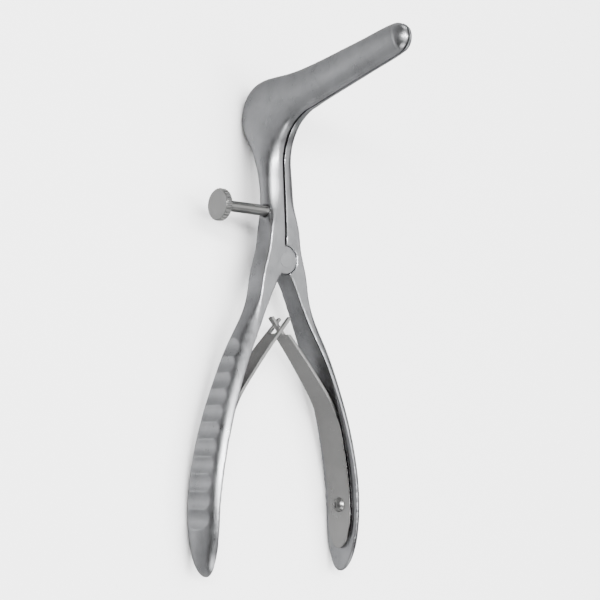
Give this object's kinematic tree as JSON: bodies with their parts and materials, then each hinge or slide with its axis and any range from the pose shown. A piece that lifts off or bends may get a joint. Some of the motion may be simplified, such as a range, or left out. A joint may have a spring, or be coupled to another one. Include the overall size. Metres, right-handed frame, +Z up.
{
  "type": "nasal speculum",
  "caption": "Self-retaining nasal speculum: trough blades bent forward from a flush lap joint, bowed scalloped handles pushed apart by interlocked leaf springs, and a knurled set screw.",
  "frame": {"origin": "centre of the base of the bounding box, on the table that the instrument lies on", "axes": "+Y along the instrument from the handle ends to the heel and blades, +X from the left arm to the right arm, the way the blades open, +Z up from the table to the blade tips"},
  "size_m": [0.0538, 0.1376, 0.0651],
  "materials": {
    "arm_steel": "satin",
    "pin_steel": "satin",
    "screw_steel": "satin",
    "spring_steel": "satin"
  },
  "bodies": {
    "left_side": {"left_arm": "arm_steel", "pivot_pin": "pin_steel", "left_spring": "spring_steel", "left_spring_screw": "screw_steel"},
    "right_side": {"right_arm": "arm_steel", "right_spring": "spring_steel", "right_spring_screw": "screw_steel"},
    "set_screw": {"thumb_screw": "screw_steel"}
  },
  "joints": [
    {"name": "arm_pivot", "type": "hinge", "parent": "left_side", "child": "right_side", "pos_m": [0, 0.01519, 0.01098], "axis": [0, 0.068, -0.9977], "range_deg": [0, 26], "stiffness_Nm_per_rad": 0.6, "springref_deg": -22.92, "deforming": ["left_spring", "right_spring"]},
    {"name": "set_screw_feed", "type": "slide", "parent": "left_side", "child": "set_screw", "axis": [1, 0, 0], "range_m": [0, 0.00604]}
  ],
  "couplings": [
    {"joint": "set_screw_feed", "follows": "arm_pivot", "m_per_rad": 0.0133}
  ]
}
